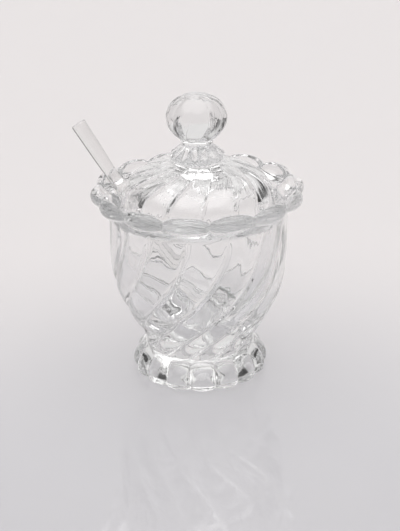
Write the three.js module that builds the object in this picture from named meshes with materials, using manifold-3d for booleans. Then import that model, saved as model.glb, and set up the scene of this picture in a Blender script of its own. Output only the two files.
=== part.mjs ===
// Moulded glass condiment pot with a lift-off domed lid and a glass rod spoon.
// Millimetres and degrees, +Z up. The origin is the middle of the foot, at table level.
// Turns are measured from the front (-Y) towards the right (+X).
import * as THREE from "three";
import { mergeVertices } from "three/addons/utils/BufferGeometryUtils.js";
import Module from "manifold-3d";

const wasm = await Module();
wasm.setup();

// The swirl pattern: lobes all round, and how far the grooves turn from one end to the other
const lobeCount = 14;
const rimTurn = 6.2;
const ribTurn = rimTurn + 180 / lobeCount;
const ribSweep = 83;
const domeTurn = 0.8;
const domeSweep = 32;
const knobLobeCount = 10;
const knobTurn = 34;
const knobSweep = 24;
const footLobeCount = 16;
const footTurn = 13.2;
const roundArch = 2;
const broadArch = 3;

// Clearances
const restGap = 0.3;
const notchClearance = 1.2;
const cutOverrun = 2;

// Foot: a flat ring to stand on, round a shallow recess
const footRadius = 28;
const footLobeDepth = 2.2;
const restInset = 2.8;
const restWidth = 4.7;
const recessDepth = 4.2;
const waistRadius = 22;
const waistHeight = 12;

// Bowl
const bowlRadius = 35.85;
const shoulderHeight = 71;
const ribDepth = 1.8;
const bowlWall = 4.95;
const floorHeight = 22;

// Rim of beads: each bead is an ellipse in section, small at a cusp and full at a lobe's middle
const rimOverhang = 3.15;
const rimRise = 5.65;
const cuspReach = 0.75;
const lobeReach = 3.6;
const cuspHalfHeight = 1.45;
const lobeHalfHeight = 3.5;
const lobeRise = 0.15;

// Conical seat for the lid, below the flare of the mouth
const flareDepth = 5.25;
const seatWidth = 2;
const seatDepth = 2.9;
const lidBearing = 0.4;

// Lid
const lidWall = 3.3;
const domeRise = 19.8;
const domeRibDepth = 1.6;
const crownThickness = 4.7;
const collarRadius = 10.9;
const collarLobeDepth = 1.2;
const stemRadius = 9.3;
const collarRise = 6.8;
const neckRadius = 6;
const knobRadius = 12.1;
const knobRise = 20.2;
const knobLobeDepth = 0.6;

// Spoon: a straight rod, wider at its top, and a round ladle that stands beside the pot's axis
const rodRadius = 2.5;
const rodTopRadius = 3.05;
const rodTurn = -104.5;
const rodTopHeight = 101.5;
const rodTaper = 22;
const rodChamfer = 0.35;
const ladleRadius = 8.5;
const ladleWall = 1.8;
const ladleDepth = 7;
const ladleOffset = 5.8;

// Fineness of the surfaces: whole numbers of sides for each lobe
const potSides = (lobeCount * footLobeCount) / 2;
const lidSides = (lobeCount * knobLobeCount) / 2;
const rodSides = 20;
const rodFootSteps = 3;
const ladleSides = 28;
const ladleSteps = 5;

// Places that follow from the sizes, as radius and height. The ladle's middle lies beyond the pot's
// axis from the side that the rod leans to.
const shoulder = [bowlRadius, shoulderHeight];
const beadCentre = [bowlRadius + rimOverhang, shoulderHeight + rimRise];
const seatEdge = [bowlRadius - bowlWall, beadCentre[1] - flareDepth - seatDepth];
const mouthEdge = [seatEdge[0] + seatWidth, seatEdge[1] + seatDepth];
const lidRadius = seatEdge[0] + lidBearing;
const ladleCentre = [-ladleOffset, floorHeight + restGap + ladleRadius];
const ladleWallMiddle = ladleRadius - ladleWall / 2;

// Outlines, as shares of the sizes that they join. Each row gives a share across, a share up and,
// where the form is lobed, a share of the lobes' depth.
const recessShares = [
  [0, 1],
  [0.6, 0.84],
  [0.9, 0.36],
  [1, 0],
];
const footShares = [
  [0.93, 0.07, 0.9],
  [1, 0.24, 1],
  [0.93, 0.43, 0.95],
  [0.71, 0.62, 0.7],
  [0.31, 0.81, 0.3],
  [0.05, 0.94, 0],
  [0, 1, 0],
];
const bowlShares = [
  [0, 0, 0],
  [0.03, 0.03, 0.6],
  [0.09, 0.068, 0.95],
  [0.2, 0.116, 1],
  [0.36, 0.179, 1],
  [0.58, 0.275, 1],
  [0.84, 0.415, 1],
  [0.965, 0.55, 0.9],
  [1, 0.705, 0.8],
  [1, 0.86, 0.65],
  [1, 1, 0],
];
const underRimShares = [
  [0, 0],
  [0.14, 0.46],
  [0.45, 0.8],
  [1, 1],
];
const flareShares = [
  [1, 1],
  [0.62, 0.66],
  [0.25, 0.31],
  [0, 0],
];
const cavityShares = [
  [1, 1],
  [0.985, 0.82],
  [0.965, 0.6],
  [0.905, 0.385],
  [0.77, 0.2],
  [0.55, 0.075],
  [0.27, 0],
  [0, 0],
];
const ceilingShares = [
  [0, 1],
  [0.42, 0.955],
  [0.74, 0.83],
  [0.93, 0.6],
  [1, 0.25],
  [1, 0],
];
const domeShares = [
  [1, 0, 0],
  [0.97, 0.285, 0.8],
  [0.915, 0.537, 1],
  [0.768, 0.742, 1],
  [0.561, 0.884, 0.8],
  [0.295, 1, 0.4],
];
const collarShares = [
  [0.7, 0, 0.5],
  [0.95, 0.15, 1],
  [1, 0.34, 1],
  [0.88, 0.52, 0.9],
  [0.5, 0.74, 0.5],
  [0.18, 0.91, 0.1],
];
const knobShares = [
  [0, 0, 0],
  [0.14, 0.11, 0.6],
  [0.47, 0.205, 0.9],
  [0.86, 0.365, 1],
  [1, 0.52, 1],
];
const knobTopShares = [
  [0.97, 0.64, 1],
  [0.86, 0.775, 0.9],
  [0.66, 0.89, 0.8],
  [0.37, 0.97, 0.5],
  [0, 1, 0],
];
const rodTaperShares = [
  [0, 0],
  [0.5, 0.3],
  [1, 1],
];

// Angles round a bead's section, from its underside to its top
const beadAngles = [-90, -50, -15, 20, 55, 90];

const radians = THREE.MathUtils.degToRad;
const mix = THREE.MathUtils.lerp;

// A station of an outline: radius and height on a lobe's crest and in the groove beside it, the
// turn of the groove, and how broad the lobe's back is.
function station(crest, groove = crest, turn = 0, arch = roundArch) {
  return [...crest, ...groove, turn, arch];
}

function lobedStation(radius, height, depth, turn, arch) {
  return station([radius, height], [radius - depth, height], turn, arch);
}

// Rows of a run of stations, with a smooth curve through them where steps asks for more rows than
// stations. The last station is left to the next run. The first side lies in a groove, unless the
// grooves have a turn of their own.
function run(stations, { steps = 1, lobes = lobeCount, grooveTurn } = {}) {
  const rows = [];
  const last = stations.length - 1;
  for (let span = 0; span < last; span++) {
    const before = stations[Math.max(span - 1, 0)];
    const start = stations[span];
    const end = stations[span + 1];
    const after = stations[Math.min(span + 2, last)];
    for (let step = 0; step < steps; step++) {
      const t = step / steps;
      const values = start.map((value, i) => curveValue(before[i], value, end[i], after[i], t));
      rows.push({ values, lobes, grooveTurn });
    }
  }
  return rows;
}

// Cubic curve through four values, at share t between the middle two
function curveValue(before, start, end, after, t) {
  const leave = (end - before) / 2;
  const arrive = (after - start) / 2;
  const change = end - start;
  const cubic = leave + arrive - 2 * change;
  const square = 3 * change - 2 * leave - arrive;
  return ((cubic * t + square) * t + leave) * t + start;
}

// A closed surface round the Z axis from rows of stations. The first and last lie on the axis.
function lobedSolid(rows, sides) {
  const positions = [0, 0, rows[0].values[1]];
  const index = [];
  const rings = rows.slice(1, -1);
  rings.forEach(({ values, lobes, grooveTurn }) => {
    const [crestR, crestZ, grooveR, grooveZ, turn, arch] = values;
    const startLobe = ((turn - (grooveTurn ?? turn)) * lobes) / 360;
    for (let side = 0; side < sides; side++) {
      const lobe = startLobe + (side * lobes) / sides;
      const across = 2 * (lobe - Math.floor(lobe)) - 1;
      const fullness = 1 - Math.abs(across) ** arch;
      const radius = mix(grooveR, crestR, fullness);
      const angle = radians(turn + (360 * side) / sides);
      positions.push(radius * Math.sin(angle), -radius * Math.cos(angle));
      positions.push(mix(grooveZ, crestZ, fullness));
    }
  });
  positions.push(0, 0, rows.at(-1).values[1]);
  const top = positions.length / 3 - 1;
  const lastRing = top - sides;
  for (let side = 0; side < sides; side++) {
    const next = (side + 1) % sides;
    index.push(0, 1 + next, 1 + side);
    index.push(top, lastRing + side, lastRing + next);
    for (let ring = 0; ring < rings.length - 1; ring++) {
      const low = 1 + ring * sides;
      const high = low + sides;
      index.push(low + side, low + next, high + side);
      index.push(low + next, high + next, high + side);
    }
  }
  const geometry = new THREE.BufferGeometry();
  geometry.setAttribute("position", new THREE.Float32BufferAttribute(positions, 3));
  geometry.setIndex(index);
  return geometry;
}

// Solids for cutting and joining
function toSolid(geometry) {
  const bare = geometry.clone();
  bare.deleteAttribute("normal");
  bare.deleteAttribute("uv");
  const merged = mergeVertices(bare);
  const vertProperties = merged.attributes.position.array;
  const triVerts = new Uint32Array(merged.index.array);
  return new wasm.Manifold(new wasm.Mesh({ numProp: 3, vertProperties, triVerts }));
}

function toGeometry(solid) {
  const { vertProperties, triVerts } = solid.getMesh();
  const geometry = new THREE.BufferGeometry();
  geometry.setAttribute("position", new THREE.Float32BufferAttribute(vertProperties, 3));
  geometry.setIndex([...triVerts]);
  return geometry;
}

// Turn of a bowl groove at a height: a rib turns faster the lower it is
function bowlTurn(height) {
  const below = (shoulderHeight - height) / (shoulderHeight - waistHeight);
  return ribTurn - ribSweep * below ** 2;
}

// A place on the rim's bead at an angle round its section, on a lobe's middle and at a cusp
function beadStation(angle) {
  const across = Math.cos(radians(angle));
  const up = Math.sin(radians(angle));
  const [radius, height] = beadCentre;
  const lobe = [radius + lobeReach * across, height + lobeRise + lobeHalfHeight * up];
  const cusp = [radius + cuspReach * across, height + cuspHalfHeight * up];
  return station(lobe, cusp, ribTurn);
}

// A station at shares of the way from a round place to a lobed station of the rim
function towardsRim([radius, height], rim, [across, up]) {
  const [crestR, crestZ, grooveR, grooveZ] = rim;
  const crest = [mix(radius, crestR, across), mix(height, crestZ, up)];
  const groove = [mix(radius, grooveR, across), mix(height, grooveZ, up)];
  return station(crest, groove, ribTurn);
}

// Pot: foot, bowl and rim in one piece of glass
function potGeometry() {
  const waistTurn = bowlTurn(waistHeight);
  const restRadius = footRadius - restInset;
  const recess = recessShares.map(([across, up]) =>
    station([(restRadius - restWidth) * across, recessDepth * up], undefined, waistTurn),
  );
  const restEdge = lobedStation(restRadius, 0, footLobeDepth / 2, waistTurn);
  const foot = footShares.map(([across, up, lobe]) => {
    const radius = mix(waistRadius, footRadius, across);
    return lobedStation(radius, waistHeight * up, footLobeDepth * lobe, waistTurn);
  });
  const bowl = bowlShares.map(([across, up, lobe]) => {
    const radius = mix(waistRadius, bowlRadius, across);
    const height = mix(waistHeight, shoulderHeight, up);
    const arch = mix(roundArch, broadArch, up);
    return lobedStation(radius, height, ribDepth * lobe, bowlTurn(height), arch);
  });
  const bead = beadAngles.map(beadStation);
  const underRim = underRimShares.map((shares) => towardsRim(shoulder, bead[0], shares));
  const flare = flareShares.map((shares) => towardsRim(mouthEdge, bead.at(-1), shares));
  const cavity = cavityShares.map(([across, up]) =>
    station([seatEdge[0] * across, mix(floorHeight, seatEdge[1], up)], undefined, ribTurn),
  );
  const rim = { grooveTurn: rimTurn };
  const rows = [
    ...run(recess),
    ...run([recess.at(-1), restEdge, ...foot], { lobes: footLobeCount, grooveTurn: footTurn }),
    ...run(bowl, { steps: 2 }),
    ...run(underRim, rim),
    ...run(bead, rim),
    ...run(flare, rim),
    ...run([flare.at(-1), ...cavity]),
    { values: cavity.at(-1) },
  ];
  return lobedSolid(rows, potSides);
}

// The lid's foot is a cone that rests on the pot's conical seat
function lidFoot() {
  const seatAngle = Math.atan2(seatWidth, seatDepth);
  const radius = seatEdge[0] - restGap * Math.cos(seatAngle);
  const height = seatEdge[1] + restGap * Math.sin(seatAngle);
  const edgeHeight = height + (lidRadius - radius) / Math.tan(seatAngle);
  return { radius, height, edgeHeight };
}

// Lid: dome, scalloped collar and knob in one piece of glass, with a notch for the spoon
function lidGeometry() {
  const foot = lidFoot();
  const domeHeight = foot.edgeHeight + domeRise;
  const neckHeight = domeHeight + collarRise;
  const ceiling = ceilingShares.map(([across, up]) => {
    const height = mix(foot.height, domeHeight - crownThickness, up);
    return station([(lidRadius - lidWall) * across, height], undefined, domeTurn);
  });
  const footEdge = station([foot.radius, foot.height], undefined, domeTurn);
  const dome = domeShares.map(([across, up, lobe]) => {
    const turn = domeTurn + (domeSweep * (1 - across)) / (1 - stemRadius / lidRadius);
    const height = mix(foot.edgeHeight, domeHeight, up);
    return lobedStation(lidRadius * across, height, domeRibDepth * lobe, turn);
  });
  const collar = collarShares.map(([across, up, lobe]) => {
    const radius = mix(neckRadius, collarRadius, across);
    const height = mix(domeHeight, neckHeight, up);
    return lobedStation(radius, height, collarLobeDepth * lobe, domeTurn + domeSweep);
  });
  const knobStation = (radius, up, lobe) => {
    const turn = knobTurn + knobSweep * Math.min(1, 2 * up);
    return lobedStation(radius, neckHeight + knobRise * up, knobLobeDepth * lobe, turn);
  };
  const knob = [
    ...knobShares.map(([across, up, lobe]) =>
      knobStation(mix(neckRadius, knobRadius, across), up, lobe),
    ),
    ...knobTopShares.map(([across, up, lobe]) => knobStation(knobRadius * across, up, lobe)),
  ];
  const rows = [
    ...run(ceiling),
    ...run([ceiling.at(-1), footEdge, dome[0]]),
    ...run(dome, { steps: 2 }),
    ...run([...collar, knob[0]]),
    ...run(knob, { steps: 2, lobes: knobLobeCount }),
    { values: knob.at(-1) },
  ];
  const body = toSolid(lobedSolid(rows, lidSides));
  return toGeometry(body.subtract(toSolid(notchCutter())));
}

// The rod's lean from upright. Its foot touches the middle of the ladle's wall, and it leans on the
// edge of the seat or of the mouth, whichever it meets first.
function rodLean() {
  const apart = restGap + rodRadius + ladleWallMiddle;
  const leans = [seatEdge, mouthEdge].map(([radius, height]) => {
    const across = radius - ladleCentre[0];
    const up = height - ladleCentre[1];
    return Math.acos(apart / Math.hypot(across, up)) - Math.atan2(up, across);
  });
  return Math.min(...leans);
}

// The foot of the rod's axis, in the middle of the ladle's wall
function rodFoot() {
  const lean = rodLean();
  const [radius, height] = ladleCentre;
  return [radius + ladleWallMiddle * Math.cos(lean), height - ladleWallMiddle * Math.sin(lean)];
}

// The notch is an arch cut through the lid's wall round the rod, from below the lid's foot
function notchCutter() {
  const [footDistance, footHeight] = rodFoot();
  const halfWidth = rodRadius + notchClearance;
  const lowHeight = lidFoot().height - cutOverrun;
  const rodHeight = footHeight + (lidRadius - footDistance) / Math.tan(rodLean());
  const outline = new THREE.Shape();
  outline.moveTo(-halfWidth, lowHeight);
  outline.lineTo(halfWidth, lowHeight);
  outline.absarc(0, rodHeight + notchClearance, halfWidth, 0, Math.PI);
  const innerRadius = lidRadius - 3 * lidWall;
  const depth = lidRadius + cutOverrun - innerRadius;
  const cutter = new THREE.ExtrudeGeometry(outline, { depth, bevelEnabled: false });
  // Stand the outline up so that the cut runs outwards at the front, then turn it to the rod
  cutter.rotateX(Math.PI / 2);
  cutter.translate(0, -innerRadius, 0);
  cutter.rotateZ(radians(rodTurn));
  return cutter;
}

// Spoon: rod and ladle in one piece of glass
function spoonGeometry() {
  const lean = rodLean();
  const [footDistance, footHeight] = rodFoot();
  const length = (rodTopHeight - footHeight) / Math.cos(lean);
  const point = (radius, height) => new THREE.Vector2(radius, height);
  const outline = [];
  for (let step = 0; step <= rodFootSteps; step++) {
    const angle = (Math.PI / 2) * (step / rodFootSteps);
    outline.push(point(rodRadius * Math.sin(angle), -rodRadius * Math.cos(angle)));
  }
  rodTaperShares.forEach(([wider, along]) => {
    const height = mix(length - rodTaper, length - rodChamfer, along);
    outline.push(point(mix(rodRadius, rodTopRadius, wider), height));
  });
  outline.push(point(rodTopRadius - rodChamfer, length), point(0, length));
  const rod = new THREE.LatheGeometry(outline, rodSides);
  rod.rotateX(Math.PI / 2);
  rod.rotateX(lean);
  rod.translate(0, -footDistance, footHeight);

  const rimDrop = ladleRadius - ladleDepth;
  const arc = (radius, share) => {
    const angle = Math.acos(rimDrop / radius) * share;
    return point(radius * Math.sin(angle), -radius * Math.cos(angle));
  };
  const outside = [];
  const inside = [];
  for (let step = 0; step <= ladleSteps; step++) {
    outside.push(arc(ladleRadius, step / ladleSteps));
    inside.unshift(arc(ladleRadius - ladleWall, step / ladleSteps));
  }
  const ladle = new THREE.LatheGeometry([...outside, ...inside], ladleSides);
  ladle.rotateX(Math.PI / 2);
  ladle.translate(0, -ladleCentre[0], ladleCentre[1]);
  const spoon = toGeometry(toSolid(rod).add(toSolid(ladle)));
  return spoon.rotateZ(radians(rodTurn));
}

function glassMesh(name, geometry, color) {
  geometry.computeVertexNormals();
  const look = { color, roughness: 0.04, metalness: 0, transparent: true, opacity: 0.4 };
  const mesh = new THREE.Mesh(geometry, new THREE.MeshStandardMaterial(look));
  mesh.name = name;
  return mesh;
}

const condimentPot = new THREE.Group();
condimentPot.add(glassMesh("pot", potGeometry(), 0xeef2f2));
condimentPot.add(glassMesh("lid", lidGeometry(), 0xf1f4f4));
condimentPot.add(glassMesh("spoon", spoonGeometry(), 0xf0f1ef));

export default condimentPot;
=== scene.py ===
"""A clear moulded-glass condiment pot with its lid and its rod spoon, on a pale studio floor.

The pot, the lid and the spoon are finer forms of the frame's solids, from the same stations. All
lengths are in metres and all turns in degrees, measured from the front (-Y) towards the right (+X).
"""

import math

import bmesh
import bpy
from mathutils import Matrix, Vector


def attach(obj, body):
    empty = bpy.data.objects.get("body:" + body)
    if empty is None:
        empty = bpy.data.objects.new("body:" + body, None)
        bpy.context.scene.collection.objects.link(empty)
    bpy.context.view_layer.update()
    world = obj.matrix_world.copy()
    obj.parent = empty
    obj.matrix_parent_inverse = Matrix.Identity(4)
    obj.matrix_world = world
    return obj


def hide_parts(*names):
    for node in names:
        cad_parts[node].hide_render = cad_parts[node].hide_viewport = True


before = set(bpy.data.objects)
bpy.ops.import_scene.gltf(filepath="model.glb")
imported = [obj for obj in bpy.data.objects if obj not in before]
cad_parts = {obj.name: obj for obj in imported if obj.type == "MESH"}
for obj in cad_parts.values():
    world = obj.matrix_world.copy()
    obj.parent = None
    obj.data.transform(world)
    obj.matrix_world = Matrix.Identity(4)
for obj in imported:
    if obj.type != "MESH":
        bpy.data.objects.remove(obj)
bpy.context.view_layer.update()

# The swirl pattern
LOBES = 14
RIM_TURN = 6.2
RIB_TURN = RIM_TURN + 180 / LOBES
RIB_SWEEP = 83
DOME_TURN = 0.8
DOME_SWEEP = 32
KNOB_LOBES = 10
KNOB_TURN = 34
KNOB_SWEEP = 24
KNOB_SWEEP_END_SHARE = 0.5
FOOT_LOBES = 16
FOOT_TURN = 13.2
ROUND_ARCH = 2
BROAD_ARCH = 3

# Foot
FOOT_RADIUS = 0.028
FOOT_LOBE_DEPTH = 0.0022
REST_INSET = 0.0028
REST_WIDTH = 0.0047
REST_LOBE_SHARE = 0.5
RECESS_DEPTH = 0.0042
WAIST_RADIUS = 0.022
WAIST_HEIGHT = 0.012

# Bowl
BOWL_RADIUS = 0.03585
SHOULDER_HEIGHT = 0.071
RIB_DEPTH = 0.0018
BOWL_WALL = 0.00495
FLOOR_HEIGHT = 0.022

# Rim of beads
RIM_OVERHANG = 0.00315
RIM_RISE = 0.00565
CUSP_REACH = 0.00075
LOBE_REACH = 0.0036
CUSP_HALF_HEIGHT = 0.00145
LOBE_HALF_HEIGHT = 0.0035
LOBE_RISE = 0.00015

# Seat for the lid
REST_GAP = 0.0003
FLARE_DEPTH = 0.00525
SEAT_WIDTH = 0.002
SEAT_DEPTH = 0.0029
LID_BEARING = 0.0004

# Lid
LID_WALL = 0.0033
DOME_RISE = 0.0198
DOME_RIB_DEPTH = 0.0016
CROWN_THICKNESS = 0.0047
COLLAR_RADIUS = 0.0109
COLLAR_LOBE_DEPTH = 0.0012
STEM_RADIUS = 0.0093
COLLAR_RISE = 0.0068
NECK_RADIUS = 0.006
KNOB_RADIUS = 0.0121
KNOB_RISE = 0.0202
KNOB_LOBE_DEPTH = 0.0006
NOTCH_CLEARANCE = 0.0012
NOTCH_WALLS = 3
CUT_OVERRUN = 0.002

# Spoon
ROD_RADIUS = 0.0025
ROD_TOP_RADIUS = 0.00305
ROD_TURN = -104.5
ROD_TOP_HEIGHT = 0.1015
ROD_TAPER = 0.022
ROD_EDGE = 0.0005
LADLE_RADIUS = 0.0085
LADLE_WALL = 0.0018
LADLE_DEPTH = 0.007
LADLE_OFFSET = 0.0058

# Places that follow from the sizes, as radius and height
SHOULDER = (BOWL_RADIUS, SHOULDER_HEIGHT)
BEAD_CENTRE = (BOWL_RADIUS + RIM_OVERHANG, SHOULDER_HEIGHT + RIM_RISE)
SEAT_EDGE = (BOWL_RADIUS - BOWL_WALL, BEAD_CENTRE[1] - FLARE_DEPTH - SEAT_DEPTH)
MOUTH_EDGE = (SEAT_EDGE[0] + SEAT_WIDTH, SEAT_EDGE[1] + SEAT_DEPTH)
LID_RADIUS = SEAT_EDGE[0] + LID_BEARING
LADLE_CENTRE = (-LADLE_OFFSET, FLOOR_HEIGHT + REST_GAP + LADLE_RADIUS)
LADLE_WALL_MIDDLE = LADLE_RADIUS - LADLE_WALL / 2

# Fineness: sides round a piece, in multiples of its lobes; steps along an outline; degrees between
# rows of the bead; the radius that counts as on the axis; the least angles of sharp edges
POT_SIDES = 3 * LOBES * FOOT_LOBES // 2
LID_SIDES = 2 * LOBES * KNOB_LOBES
ROD_SIDES = 64
LADLE_SIDES = 72
FINE_STEPS = 6
COARSE_STEPS = 4
ARC_STEPS = 24
SMALL_ARC_STEPS = 8
ROD_EDGE_STEPS = 5
BEAD_STEP = 10
ON_AXIS = 1e-7
LID_SHARP_ANGLE = 50
SPOON_SHARP_ANGLE = 60

# Outlines, as shares of the sizes that they join: across, up and, where lobed, of the lobes' depth
RECESS_SHARES = [(0, 1), (0.6, 0.84), (0.9, 0.36), (1, 0)]
FOOT_SHARES = [
    (0.93, 0.07, 0.9),
    (1, 0.24, 1),
    (0.93, 0.43, 0.95),
    (0.71, 0.62, 0.7),
    (0.31, 0.81, 0.3),
    (0.05, 0.94, 0),
    (0, 1, 0),
]
BOWL_SHARES = [
    (0, 0, 0),
    (0.03, 0.03, 0.6),
    (0.09, 0.068, 0.95),
    (0.2, 0.116, 1),
    (0.36, 0.179, 1),
    (0.58, 0.275, 1),
    (0.84, 0.415, 1),
    (0.965, 0.55, 0.9),
    (1, 0.705, 0.8),
    (1, 0.86, 0.65),
    (1, 1, 0),
]
UNDER_RIM_SHARES = [(0, 0), (0.14, 0.46), (0.45, 0.8), (1, 1)]
FLARE_SHARES = [(1, 1), (0.62, 0.66), (0.25, 0.31), (0, 0)]
CAVITY_SHARES = [
    (1, 1),
    (0.985, 0.82),
    (0.965, 0.6),
    (0.905, 0.385),
    (0.77, 0.2),
    (0.55, 0.075),
    (0.27, 0),
    (0, 0),
]
CEILING_SHARES = [(0, 1), (0.42, 0.955), (0.74, 0.83), (0.93, 0.6), (1, 0.25), (1, 0)]
DOME_SHARES = [
    (1, 0, 0),
    (0.97, 0.285, 0.8),
    (0.915, 0.537, 1),
    (0.768, 0.742, 1),
    (0.561, 0.884, 0.8),
    (0.295, 1, 0.4),
]
COLLAR_SHARES = [
    (0.7, 0, 0.5),
    (0.95, 0.15, 1),
    (1, 0.34, 1),
    (0.88, 0.52, 0.9),
    (0.5, 0.74, 0.5),
    (0.18, 0.91, 0.1),
]
KNOB_SHARES = [(0, 0, 0), (0.14, 0.11, 0.6), (0.47, 0.205, 0.9), (0.86, 0.365, 1), (1, 0.52, 1)]
KNOB_TOP_SHARES = [
    (0.97, 0.64, 1),
    (0.86, 0.775, 0.9),
    (0.66, 0.89, 0.8),
    (0.37, 0.97, 0.5),
    (0, 1, 0),
]
ROD_TAPER_SHARES = [(0, 0), (0.5, 0.3), (1, 1)]

# The section of a groove: a narrow channel between broad lobes, with a share of the groove's depth
CHANNEL_SHARE = 0.2
FOOT_CHANNEL = 0.2
BOWL_CHANNEL = 0.4
RIM_CHANNEL = 0.1
DOME_CHANNEL = 0.45


def mix(a, b, share):
    return a + (b - a) * share


def smooth_step(share):
    share = min(1, max(0, share))
    return share * share * (3 - 2 * share)


def station(crest, groove=None, turn=0.0, arch=ROUND_ARCH):
    """Radius and height on a lobe's crest and in the groove beside it, the groove's turn, and the
    power of the lobe's arch."""
    return (*crest, *(groove or crest), turn, arch)


def lobed_station(radius, height, depth, turn, arch=ROUND_ARCH):
    return station((radius, height), (radius - depth, height), turn, arch)


def curve_value(before, start, end, after, t):
    """A cubic curve through four values, at share t between the middle two."""
    leave = (end - before) / 2
    arrive = (after - start) / 2
    change = end - start
    cubic = leave + arrive - 2 * change
    square = 3 * change - 2 * leave - arrive
    return ((cubic * t + square) * t + leave) * t + start


def run(stations, steps=COARSE_STEPS, lobes=LOBES, groove_turn=None, channel=0.0):
    """Rows of a run of stations, smoothed. The last station is left to the next run. The first side
    lies in a groove, unless the grooves have a turn of their own."""
    rows = []
    last = len(stations) - 1
    for span in range(last):
        before = stations[max(span - 1, 0)]
        start = stations[span]
        end = stations[span + 1]
        after = stations[min(span + 2, last)]
        for step in range(steps):
            t = step / steps
            values = [curve_value(*four, t) for four in zip(before, start, end, after)]
            rows.append((values, lobes, groove_turn, channel))
    return rows


def fullness(across, arch, channel_depth):
    """How far a lobe stands out at a place across it, from 1 at its middle to 0 in the groove."""
    across = abs(across)
    lobe = 1 - across**arch
    channel = 1 - smooth_step((across - 1 + CHANNEL_SHARE) / CHANNEL_SHARE)
    return mix(lobe, channel, channel_depth)


def lobed_mesh(rows, sides):
    """A closed surface round Z from rows of stations. The first and last lie on the axis."""
    mesh = bmesh.new()
    rings = []
    for values, lobes, groove_turn, channel in rows[1:-1]:
        crest_r, crest_z, groove_r, groove_z, turn, arch = values
        start_lobe = 0 if groove_turn is None else (turn - groove_turn) * lobes / 360
        ring = []
        for side in range(sides):
            across = ((start_lobe + side * lobes / sides) % 1) * 2 - 1
            share = fullness(across, arch, channel)
            radius = mix(groove_r, crest_r, share)
            angle = math.radians(turn + 360 * side / sides)
            height = mix(groove_z, crest_z, share)
            place = (radius * math.sin(angle), -radius * math.cos(angle), height)
            ring.append(mesh.verts.new(place))
        rings.append(ring)
    low = mesh.verts.new((0, 0, rows[0][0][1]))
    high = mesh.verts.new((0, 0, rows[-1][0][1]))
    for side in range(sides):
        after = (side + 1) % sides
        mesh.faces.new((low, rings[0][after], rings[0][side]))
        mesh.faces.new((high, rings[-1][side], rings[-1][after]))
        for under, over in zip(rings, rings[1:]):
            mesh.faces.new((under[side], under[after], over[after], over[side]))
    return mesh


def piece(name, mesh, material, node):
    """A shown object from a bmesh, riding with its body in place of its CAD node."""
    data = bpy.data.meshes.new(name)
    mesh.to_mesh(data)
    mesh.free()
    made = bpy.data.objects.new(name, data)
    bpy.context.scene.collection.objects.link(made)
    data.shade_smooth()
    data.materials.append(material)
    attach(made, node)
    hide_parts(node)
    return made


def bowl_turn(height):
    """Turn of a bowl groove at a height: a rib turns faster the lower it is."""
    below = (SHOULDER_HEIGHT - height) / (SHOULDER_HEIGHT - WAIST_HEIGHT)
    return RIB_TURN - RIB_SWEEP * below**2


def bead_station(angle):
    """A place on the rim's bead at an angle round its section."""
    across = math.cos(math.radians(angle))
    up = math.sin(math.radians(angle))
    radius, height = BEAD_CENTRE
    lobe = (radius + LOBE_REACH * across, height + LOBE_RISE + LOBE_HALF_HEIGHT * up)
    cusp = (radius + CUSP_REACH * across, height + CUSP_HALF_HEIGHT * up)
    return station(lobe, cusp, RIB_TURN)


def towards_rim(place, rim, across, up):
    """A station at shares of the way from a round place to a lobed station of the rim."""
    radius, height = place
    crest = (mix(radius, rim[0], across), mix(height, rim[1], up))
    groove = (mix(radius, rim[2], across), mix(height, rim[3], up))
    return station(crest, groove, RIB_TURN)


def pot_mesh():
    waist_turn = bowl_turn(WAIST_HEIGHT)
    rest_radius = FOOT_RADIUS - REST_INSET
    recess = [
        station(((rest_radius - REST_WIDTH) * across, RECESS_DEPTH * up), turn=waist_turn)
        for across, up in RECESS_SHARES
    ]
    rest_edge = lobed_station(rest_radius, 0, FOOT_LOBE_DEPTH * REST_LOBE_SHARE, waist_turn)
    foot = [
        lobed_station(
            mix(WAIST_RADIUS, FOOT_RADIUS, across),
            WAIST_HEIGHT * up,
            FOOT_LOBE_DEPTH * lobe,
            waist_turn,
        )
        for across, up, lobe in FOOT_SHARES
    ]
    bowl = []
    for across, up, lobe in BOWL_SHARES:
        radius = mix(WAIST_RADIUS, BOWL_RADIUS, across)
        height = mix(WAIST_HEIGHT, SHOULDER_HEIGHT, up)
        arch = mix(ROUND_ARCH, BROAD_ARCH, up)
        bowl.append(lobed_station(radius, height, RIB_DEPTH * lobe, bowl_turn(height), arch))
    bead = [bead_station(angle) for angle in range(-90, 90 + BEAD_STEP, BEAD_STEP)]
    under_rim = [towards_rim(SHOULDER, bead[0], *shares) for shares in UNDER_RIM_SHARES]
    flare = [towards_rim(MOUTH_EDGE, bead[-1], *shares) for shares in FLARE_SHARES]
    cavity = [
        station((SEAT_EDGE[0] * across, mix(FLOOR_HEIGHT, SEAT_EDGE[1], up)), turn=RIB_TURN)
        for across, up in CAVITY_SHARES
    ]
    foot_lobes = {"lobes": FOOT_LOBES, "groove_turn": FOOT_TURN, "channel": FOOT_CHANNEL}
    rim_lobes = {"groove_turn": RIM_TURN, "channel": RIM_CHANNEL}
    rows = [
        *run(recess),
        *run([recess[-1], rest_edge], steps=1),
        *run([rest_edge, *foot], **foot_lobes),
        *run(bowl, steps=FINE_STEPS, channel=BOWL_CHANNEL),
        *run(under_rim, **rim_lobes),
        *run(bead, steps=1, **rim_lobes),
        *run(flare, **rim_lobes),
        *run([flare[-1], cavity[0]], steps=1),
        *run(cavity),
        (cavity[-1], LOBES, None, 0),
    ]
    return lobed_mesh(rows, POT_SIDES)


def lid_foot():
    """The lid's foot is a cone that rests on the pot's conical seat: radius, height, edge height."""
    seat_angle = math.atan2(SEAT_WIDTH, SEAT_DEPTH)
    radius = SEAT_EDGE[0] - REST_GAP * math.cos(seat_angle)
    height = SEAT_EDGE[1] + REST_GAP * math.sin(seat_angle)
    return radius, height, height + (LID_RADIUS - radius) / math.tan(seat_angle)


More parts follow.
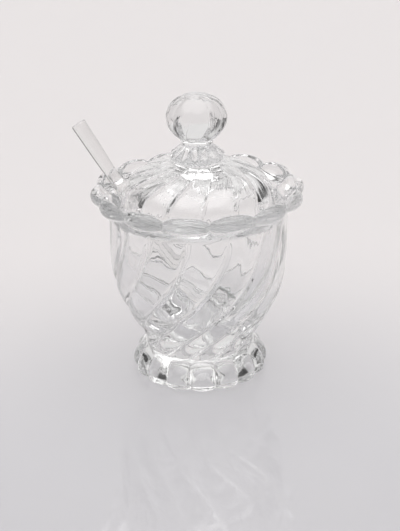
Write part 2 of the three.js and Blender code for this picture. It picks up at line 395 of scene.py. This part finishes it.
def lid_mesh():
    foot_radius, foot_height, edge_height = lid_foot()
    dome_height = edge_height + DOME_RISE
    neck_height = dome_height + COLLAR_RISE
    ceiling = [
        station(
            (
                (LID_RADIUS - LID_WALL) * across,
                mix(foot_height, dome_height - CROWN_THICKNESS, up),
            ),
            turn=DOME_TURN,
        )
        for across, up in CEILING_SHARES
    ]
    dome = []
    for across, up, lobe in DOME_SHARES:
        turn = DOME_TURN + DOME_SWEEP * (1 - across) / (1 - STEM_RADIUS / LID_RADIUS)
        height = mix(edge_height, dome_height, up)
        dome.append(lobed_station(LID_RADIUS * across, height, DOME_RIB_DEPTH * lobe, turn))
    collar = [
        lobed_station(
            mix(NECK_RADIUS, COLLAR_RADIUS, across),
            mix(dome_height, neck_height, up),
            COLLAR_LOBE_DEPTH * lobe,
            DOME_TURN + DOME_SWEEP,
        )
        for across, up, lobe in COLLAR_SHARES
    ]

    def knob_station(radius, up, lobe):
        turn = KNOB_TURN + KNOB_SWEEP * min(1, up / KNOB_SWEEP_END_SHARE)
        return lobed_station(radius, neck_height + KNOB_RISE * up, KNOB_LOBE_DEPTH * lobe, turn)

    knob = [
        knob_station(mix(NECK_RADIUS, KNOB_RADIUS, across), up, lobe)
        for across, up, lobe in KNOB_SHARES
    ]
    knob += [knob_station(KNOB_RADIUS * across, up, lobe) for across, up, lobe in KNOB_TOP_SHARES]
    foot_edge = station((foot_radius, foot_height), turn=DOME_TURN)
    rows = [
        *run(ceiling),
        *run([ceiling[-1], foot_edge, dome[0]], steps=1),
        *run(dome, steps=FINE_STEPS, channel=DOME_CHANNEL),
        *run([*collar, knob[0]]),
        *run(knob, steps=FINE_STEPS, lobes=KNOB_LOBES),
        (knob[-1], KNOB_LOBES, None, 0),
    ]
    return lobed_mesh(rows, LID_SIDES)


def rod_lean():
    """The rod's lean from upright: it leans on the seat's or the mouth's edge."""
    apart = REST_GAP + ROD_RADIUS + LADLE_WALL_MIDDLE
    leans = []
    for radius, height in (SEAT_EDGE, MOUTH_EDGE):
        across = radius - LADLE_CENTRE[0]
        up = height - LADLE_CENTRE[1]
        leans.append(math.acos(apart / math.hypot(across, up)) - math.atan2(up, across))
    return min(leans)


def rod_foot():
    """Where the rod's axis starts, in the middle of the ladle's wall, as distance and height."""
    lean = rod_lean()
    radius, height = LADLE_CENTRE
    return (
        radius + LADLE_WALL_MIDDLE * math.cos(lean),
        height - LADLE_WALL_MIDDLE * math.sin(lean),
    )


def lathe(profile, sides):
    """A closed surface round Z from a profile of radius and height. The profile starts and ends on the
    axis."""
    mesh = bmesh.new()
    rings = []
    for radius, height in profile:
        if radius < ON_AXIS:
            rings.append([mesh.verts.new((0, 0, height))] * sides)
            continue
        ring = []
        for side in range(sides):
            angle = math.tau * side / sides
            ring.append(mesh.verts.new((radius * math.cos(angle), radius * math.sin(angle), height)))
        rings.append(ring)
    for under, over in zip(rings, rings[1:]):
        for side in range(sides):
            after = (side + 1) % sides
            corners = (under[side], under[after], over[after], over[side])
            mesh.faces.new(list(dict.fromkeys(corners)))
    return mesh


def arc(centre, radius, start, end, steps):
    """Points of an arc in a profile, with angles in degrees from the outward direction."""
    points = []
    for step in range(steps + 1):
        angle = math.radians(mix(start, end, step / steps))
        points.append((centre[0] + radius * math.cos(angle), centre[1] + radius * math.sin(angle)))
    return points


def place_leaning(mesh, lean, distance, height):
    """Leans a bmesh that stands on Z, and puts its foot on the rod's side of the pot."""
    turn = Matrix.Rotation(math.radians(ROD_TURN), 4, "Z")
    mesh.transform(turn @ Matrix.Translation((0, -distance, height)) @ Matrix.Rotation(lean, 4, "X"))
    return mesh


def rod_mesh():
    lean = rod_lean()
    distance, height = rod_foot()
    length = (ROD_TOP_HEIGHT - height) / math.cos(lean)
    profile = arc((0, 0), ROD_RADIUS, -90, 0, SMALL_ARC_STEPS)
    taper = [
        (mix(ROD_RADIUS, ROD_TOP_RADIUS, wider), mix(length - ROD_TAPER, length - ROD_EDGE, along))
        for wider, along in ROD_TAPER_SHARES
    ]
    for span in range(len(taper) - 1):
        before = taper[max(span - 1, 0)]
        after = taper[min(span + 2, len(taper) - 1)]
        for step in range(FINE_STEPS):
            t = step / FINE_STEPS
            four = zip(before, taper[span], taper[span + 1], after)
            profile.append(tuple(curve_value(*values, t) for values in four))
    edge_centre = (ROD_TOP_RADIUS - ROD_EDGE, length - ROD_EDGE)
    profile += arc(edge_centre, ROD_EDGE, 0, 90, ROD_EDGE_STEPS)
    profile.append((0, length))
    return place_leaning(lathe(profile, ROD_SIDES), lean, distance, height)


def ladle_mesh():
    rim_drop = LADLE_RADIUS - LADLE_DEPTH
    inner_radius = LADLE_RADIUS - LADLE_WALL
    outside_end = -math.degrees(math.asin(rim_drop / LADLE_RADIUS))
    inside_end = -math.degrees(math.asin(rim_drop / inner_radius))
    outside = arc((0, 0), LADLE_RADIUS, -90, outside_end, ARC_STEPS)
    inside = arc((0, 0), inner_radius, inside_end, -90, ARC_STEPS)
    lip_middle = ((outside[-1][0] + inside[0][0]) / 2, -rim_drop)
    lip = arc(lip_middle, (outside[-1][0] - inside[0][0]) / 2, 0, 180, SMALL_ARC_STEPS)
    profile = [(0, outside[0][1]), *outside[1:-1], *lip, *inside[1:-1], (0, inside[-1][1])]
    return place_leaning(lathe(profile, LADLE_SIDES), 0, *LADLE_CENTRE)


def notch_mesh():
    """The arch that is cut through the lid's wall round the rod."""
    distance, height = rod_foot()
    half_width = ROD_RADIUS + NOTCH_CLEARANCE
    low = lid_foot()[1] - CUT_OVERRUN
    top_centre = height + (LID_RADIUS - distance) / math.tan(rod_lean()) + NOTCH_CLEARANCE
    inner = LID_RADIUS - NOTCH_WALLS * LID_WALL
    outer = LID_RADIUS + CUT_OVERRUN
    outline = [(-half_width, low), (half_width, low)]
    outline += arc((0, top_centre), half_width, 0, 180, ARC_STEPS)
    mesh = bmesh.new()
    near, far = [
        [mesh.verts.new((across, -depth, up)) for across, up in outline] for depth in (outer, inner)
    ]
    mesh.faces.new(near)
    mesh.faces.new(far[::-1])
    for index in range(len(outline)):
        after = (index + 1) % len(outline)
        mesh.faces.new((near[after], near[index], far[index], far[after]))
    mesh.transform(Matrix.Rotation(math.radians(ROD_TURN), 4, "Z"))
    return mesh


def combined(first, second, operation):
    """A boolean of two bmeshes, as a bmesh."""
    made = []
    for mesh in (first, second):
        data = bpy.data.meshes.new("part")
        mesh.to_mesh(data)
        mesh.free()
        made.append(bpy.data.objects.new("part", data))
        bpy.context.scene.collection.objects.link(made[-1])
    modifier = made[0].modifiers.new("combine", "BOOLEAN")
    modifier.object = made[1]
    modifier.operation = operation
    modifier.solver = "EXACT"
    evaluated = made[0].evaluated_get(bpy.context.evaluated_depsgraph_get())
    result = bmesh.new()
    result.from_mesh(evaluated.to_mesh())
    for part in made:
        bpy.data.objects.remove(part)
    return result


# Glass
GLASS_IOR = 1.52
GLASS_DEPTH_COLOUR = (0.33, 0.37, 0.36)
PRESSED_TINT = (0.985, 0.99, 0.99)
SPOON_TINT = (0.985, 0.98, 0.97)
POT_DENSITY = 2.4
LID_DENSITY = 2.5
SPOON_DENSITY = 10
CLOUD_SCALE = 25
CLOUD_DETAIL = 2
ROUGHEST = 0.004
ROUGH_DETAIL = 3
PEEL_SCALE = 600
PEEL_DETAIL = 2
PEEL_HEIGHT = 0.000004
WAVE_SCALE = 120
WAVE_DETAIL = 1
POT_WAVES = 0.00012
LID_WAVES = 0.0001
SPOON_WAVES = 0.00003

# Rings along the beads, and streaks along the swirl, whose height is a share of the radius
RINGS_ROUND = 60
RINGS_UP = 600
RING_HEIGHT = 0.00006
STREAKS_ROUND = 12
STREAKS_ALONG = 30
POT_STREAK_SHARE = 0.001
LID_STREAK_SHARE = 0.004
POT_SWIRL = {
    "driver": "height",
    "ends": (SHOULDER_HEIGHT, WAIST_HEIGHT),
    "power": 2,
    "sweep": -RIB_SWEEP,
}
LID_SWIRL = {
    "driver": "radius",
    "ends": (LID_RADIUS, STEM_RADIUS),
    "power": 1,
    "sweep": DOME_SWEEP,
}


class Tree:
    """The node tree of a new material or world, with short ways to add nodes to it."""

    def __init__(self, owner):
        owner.use_nodes = True
        self.nodes = owner.node_tree.nodes
        self.links = owner.node_tree.links

    def fill(self, socket, given):
        """Links an input to a socket, or sets it to a value."""
        if isinstance(given, bpy.types.NodeSocket):
            self.links.new(given, socket)
        else:
            socket.default_value = given

    def node(self, kind, settings=None, **inputs):
        """A node with its settings, and inputs by name, with spaces written as underscores."""
        made = self.nodes.new(f"ShaderNode{kind}")
        for name, value in (settings or {}).items():
            setattr(made, name, value)
        for name, given in inputs.items():
            self.fill(made.inputs[name.replace("_", " ")], given)
        return made

    def math(self, operation, *given):
        made = self.node("Math", {"operation": operation})
        for socket, value in zip(made.inputs, given):
            self.fill(socket, value)
        return made.outputs["Value"]

    def vector_math(self, operation, *given):
        made = self.node("VectorMath", {"operation": operation})
        for socket, value in zip(made.inputs, given):
            self.fill(socket, value)
        return made.outputs["Value" if operation in ("LENGTH", "DISTANCE") else "Vector"]

    def split(self, place, axis):
        return self.node("SeparateXYZ", Vector=place).outputs[axis]

    def step(self, value, edge, low=0, high=1, smooth=True):
        """A step from low to high as a value passes from one end of an edge to the other."""
        kind = {"interpolation_type": "SMOOTHSTEP" if smooth else "LINEAR"}
        ends = {"From_Min": edge[0], "From_Max": edge[1], "To_Min": low, "To_Max": high}
        return self.node("MapRange", kind, Value=value, **ends).outputs["Result"]

    def noise(self, place, scale, detail):
        return self.node("TexNoise", Vector=place, Scale=scale, Detail=detail).outputs["Fac"]

    def colour_mix(self, first, second, share):
        inputs = {"A": (*first, 1), "B": (*second, 1), "Factor": share}
        return self.node("Mix", {"data_type": "RGBA"}, **inputs).outputs["Result"]

    def bump(self, height, distance, below=None):
        """The normal of a bump, laid over the normal of the bumps below it."""
        made = self.node("Bump", Distance=distance, Height=height)
        if below:
            self.fill(made.inputs["Normal"], below)
        return made.outputs["Normal"]


def swirl_place(tree, place, driver, ends, power, sweep):
    """A place to draw streaks by, which changes fast round Z and little along a swirling groove, and
    its radius. The swirl turns by the sweep while the driver, the place's height or radius, goes from
    end to end."""
    flat = tree.vector_math("MULTIPLY", place, (1, 1, 0))
    radius = tree.vector_math("LENGTH", flat)
    driven_by = {"height": tree.split(place, "Z"), "radius": radius}[driver]
    share = tree.math("POWER", tree.step(driven_by, ends, smooth=False), power)
    angle = tree.math("MULTIPLY", share, -math.radians(sweep))
    turned = tree.node("VectorRotate", {"rotation_type": "Z_AXIS"}, Vector=flat, Angle=angle)
    round_z = tree.vector_math("NORMALIZE", turned.outputs["Vector"])
    fast = tree.vector_math("MULTIPLY", round_z, (STREAKS_ROUND, STREAKS_ROUND, STREAKS_ROUND))
    return tree.vector_math("MULTIPLY_ADD", place, (0, 0, STREAKS_ALONG), fast), radius


def glass(name, tint, waviness, density, streak_share=0, swirl=None, beads_from=None):
    """Clear pressed glass: faintly uneven tint, roughness and surface, as fire polish leaves it, and
    a little grey where light passes far through it. It may have streaks along a swirl, and rings
    along the beads above a height."""
    material = bpy.data.materials.new(name)
    tree = Tree(material)
    shader = tree.nodes["Principled BSDF"]
    shader.inputs["Transmission Weight"].default_value = 1
    shader.inputs["IOR"].default_value = GLASS_IOR
    place = tree.node("TexCoord").outputs["Object"]

    colour = tree.colour_mix(tint, (1, 1, 1), tree.noise(place, CLOUD_SCALE, CLOUD_DETAIL))
    tree.fill(shader.inputs["Base Color"], colour)
    grain = tree.noise(place, PEEL_SCALE, ROUGH_DETAIL)
    rough = tree.step(grain, (0, 1), high=ROUGHEST, smooth=False)
    tree.fill(shader.inputs["Roughness"], rough)

    normal = tree.bump(tree.noise(place, WAVE_SCALE, WAVE_DETAIL), waviness)
    if beads_from:
        edge = (beads_from, beads_from + RIM_RISE)
        on_rim = tree.step(tree.split(place, "Z"), edge, smooth=False)
        level = tree.vector_math("MULTIPLY", place, (RINGS_ROUND, RINGS_ROUND, RINGS_UP))
        rings = tree.math("MULTIPLY", tree.noise(level, 1, WAVE_DETAIL), on_rim)
        normal = tree.bump(rings, RING_HEIGHT, normal)
    if swirl:
        at, radius = swirl_place(tree, place, **swirl)
        streaks = tree.math("MULTIPLY", tree.noise(at, 1, WAVE_DETAIL), radius)
        normal = tree.bump(streaks, streak_share, normal)
    normal = tree.bump(tree.noise(place, PEEL_SCALE, PEEL_DETAIL), PEEL_HEIGHT, normal)
    tree.fill(shader.inputs["Normal"], normal)

    depth = tree.node("VolumeAbsorption", Color=(*GLASS_DEPTH_COLOUR, 1), Density=density)
    tree.fill(tree.nodes["Material Output"].inputs["Volume"], depth.outputs["Volume"])
    return material


pot_glass = glass(
    "pot_glass",
    PRESSED_TINT,
    POT_WAVES,
    POT_DENSITY,
    POT_STREAK_SHARE,
    POT_SWIRL,
    beads_from=SHOULDER_HEIGHT,
)
lid_glass = glass(
    "lid_glass", PRESSED_TINT, LID_WAVES, LID_DENSITY, LID_STREAK_SHARE, LID_SWIRL
)
spoon_glass = glass("spoon_glass", SPOON_TINT, SPOON_WAVES, SPOON_DENSITY)

piece("glass_pot", pot_mesh(), pot_glass, "pot")
lid = piece("glass_lid", combined(lid_mesh(), notch_mesh(), "DIFFERENCE"), lid_glass, "lid")
lid.data.set_sharp_from_angle(angle=math.radians(LID_SHARP_ANGLE))
spoon = piece("glass_spoon", combined(rod_mesh(), ladle_mesh(), "UNION"), spoon_glass, "spoon")
spoon.data.set_sharp_from_angle(angle=math.radians(SPOON_SHARP_ANGLE))


# Floor: pale smooth paper whose colour holds painted light and shade: it is painted darker just
# before the pot and a little brighter away from there, where the studio's light falls brighter. Most
# of its colour is seen plain, so that the pot's shadow is faint, and it mirrors the pot a little.
FLOOR_HALF_SIZE = 15
AIR_UNDER_FOOT = 0.00015
# The paper's colour in painted shade near the front, and in painted light further off
PAPER_IN_PAINTED_SHADE = (0.643, 0.631, 0.653)
PAPER_IN_PAINTED_LIGHT = (0.82, 0.785, 0.785)
PAINTED_SHADE_MIDDLE = (0, -0.15, 0)
PAINTED_LIGHT_CHANGE = (0.09, 0.3)
PAPER_SCATTER = 0.01
PAPER_GLOW = 0.7
PAPER_ROUGHNESS = 0.35
PAPER_SPECULAR = 0.35
MIRROR_SHARE = 0.085
MIRROR_ROUGHNESS = 0.05


def floor_paper():
    """Paper that the studio lights, with painted light and shade in its colour, that is mostly seen in
    its plain colour, straight on or through the glass, and that mirrors a little."""
    material = bpy.data.materials.new("floor_paper")
    tree = Tree(material)
    shader = tree.nodes["Principled BSDF"]
    shader.inputs["Roughness"].default_value = PAPER_ROUGHNESS
    shader.inputs["Specular IOR Level"].default_value = PAPER_SPECULAR
    shader.subsurface_method = "BURLEY"
    shader.inputs["Subsurface Weight"].default_value = 1
    shader.inputs["Subsurface Radius"].default_value = (1, 1, 1)
    shader.inputs["Subsurface Scale"].default_value = PAPER_SCATTER
    place = tree.node("TexCoord").outputs["Object"]
    # Painted light and shade: the colour is darker near a place before the pot and brighter away from
    # it
    painted_light_share = tree.step(tree.vector_math("DISTANCE", place, PAINTED_SHADE_MIDDLE), PAINTED_LIGHT_CHANGE)
    colour = tree.colour_mix(PAPER_IN_PAINTED_SHADE, PAPER_IN_PAINTED_LIGHT, painted_light_share)
    tree.fill(shader.inputs["Base Color"], colour)
    plain = tree.node("Emission", Color=colour)
    path = tree.node("LightPath")
    seen = path.outputs["Is Camera Ray"]
    for kind in ("Is Glossy Ray", "Is Transmission Ray"):
        seen = tree.math("MAXIMUM", seen, path.outputs[kind])
    both = tree.node("MixShader", Fac=tree.math("MULTIPLY", seen, PAPER_GLOW))
    tree.fill(both.inputs[1], shader.outputs["BSDF"])
    tree.fill(both.inputs[2], plain.outputs["Emission"])
    mirror = tree.node("BsdfGlossy", Roughness=MIRROR_ROUGHNESS)
    smooth = tree.node("MixShader", Fac=MIRROR_SHARE)
    tree.fill(smooth.inputs[1], both.outputs["Shader"])
    tree.fill(smooth.inputs[2], mirror.outputs["BSDF"])
    tree.fill(tree.nodes["Material Output"].inputs["Surface"], smooth.outputs["Shader"])
    return material


floor_form = bmesh.new()
bmesh.ops.create_grid(floor_form, x_segments=1, y_segments=1, size=FLOOR_HALF_SIZE)
floor_data = bpy.data.meshes.new("floor")
floor_form.to_mesh(floor_data)
floor_form.free()
floor_data.materials.append(floor_paper())
floor = bpy.data.objects.new("floor", floor_data)
bpy.context.scene.collection.objects.link(floor)
floor.location.z = -AIR_UNDER_FOOT


# Studio: what the glass sees round it. A soft light overhead, a bright wall behind the pot, dimmer
# walls at its other three sides, and dark corners between the walls.
BACKDROP = (0.83, 0.79, 0.785)
STUDIO_COLOUR = (1, 0.985, 0.98)
WALL_BRIGHTNESS = 0.8
SIDE_BRIGHTNESS = 0.25
BACK_EDGE = (0.4, 0.7)
ROOM_BRIGHTNESS = 0.06
ROOM_EDGE = (0.7, 0.85)
OVERHEAD_BRIGHTNESS = 2.2
OVERHEAD_EDGE = (0.6, 0.9)


def studio():
    world = bpy.data.worlds.new("studio")
    bpy.context.scene.world = world
    tree = Tree(world)
    light = tree.nodes["Background"]
    place = tree.node("TexCoord").outputs["Generated"]
    x, y = [tree.math("ABSOLUTE", tree.split(place, axis)) for axis in "XY"]
    wall = tree.step(tree.split(place, "Y"), BACK_EDGE, SIDE_BRIGHTNESS, WALL_BRIGHTNESS)
    walls = tree.step(tree.math("MAXIMUM", x, y), ROOM_EDGE, ROOM_BRIGHTNESS, wall)
    all_round = tree.step(tree.split(place, "Z"), OVERHEAD_EDGE, walls, OVERHEAD_BRIGHTNESS)
    tree.fill(light.inputs["Strength"], all_round)
    light.inputs["Color"].default_value = (*STUDIO_COLOUR, 1)
    seen = tree.node("Background", Color=(*BACKDROP, 1))
    choose = tree.node("MixShader", Fac=tree.node("LightPath").outputs["Is Camera Ray"])
    tree.fill(choose.inputs[1], light.outputs["Background"])
    tree.fill(choose.inputs[2], seen.outputs["Background"])
    tree.fill(tree.nodes["World Output"].inputs["Surface"], choose.outputs["Shader"])


studio()

# Camera: at the photograph's distance and height, looking down at the rim's middle
RIM_HEIGHT = 0.076065
CAMERA_DISTANCE = 0.45
CAMERA_ELEVATION = 20.35
CAMERA_PITCH = 24.072
CAMERA_YAW = -0.058
CAMERA_ROLL = 0.9
IMAGE_HEIGHT = 531
FOCAL_PIXELS = 1128.7
SENSOR = 0.036
MM_PER_METRE = 1000
CLIP_START = CAMERA_DISTANCE / 20
CLIP_END = 4 * FLOOR_HALF_SIZE


def camera():
    data = bpy.data.cameras.new("camera")
    made = bpy.data.objects.new("camera", data)
    bpy.context.scene.collection.objects.link(made)
    bpy.context.scene.camera = made
    data.sensor_width = MM_PER_METRE * SENSOR
    data.lens = MM_PER_METRE * SENSOR * FOCAL_PIXELS / IMAGE_HEIGHT
    data.clip_start = CLIP_START
    data.clip_end = CLIP_END
    pitch = math.radians(CAMERA_PITCH)
    yaw = math.radians(CAMERA_YAW)
    roll = math.radians(CAMERA_ROLL)
    ahead = Vector((0, math.cos(pitch), -math.sin(pitch)))
    right = Vector((1, 0, 0))
    up = right.cross(ahead)
    ahead, right = (
        ahead * math.cos(yaw) - right * math.sin(yaw),
        right * math.cos(yaw) + ahead * math.sin(yaw),
    )
    image_right = right * math.cos(roll) - up * math.sin(roll)
    image_up = right * math.sin(roll) + up * math.cos(roll)
    made.matrix_world = Matrix((image_right, image_up, -ahead)).transposed().to_4x4()
    elevation = math.radians(CAMERA_ELEVATION)
    made.location = (
        0,
        -CAMERA_DISTANCE * math.cos(elevation),
        RIM_HEIGHT + CAMERA_DISTANCE * math.sin(elevation),
    )


camera()

# Light passes many walls of glass, and is turned back inside them, before it leaves
BOUNCES = 32
DIFFUSE_BOUNCES = 8

scene = bpy.context.scene
scene.view_settings.view_transform = "Standard"
scene.cycles.max_bounces = BOUNCES
scene.cycles.glossy_bounces = BOUNCES
scene.cycles.transmission_bounces = BOUNCES
scene.cycles.diffuse_bounces = DIFFUSE_BOUNCES
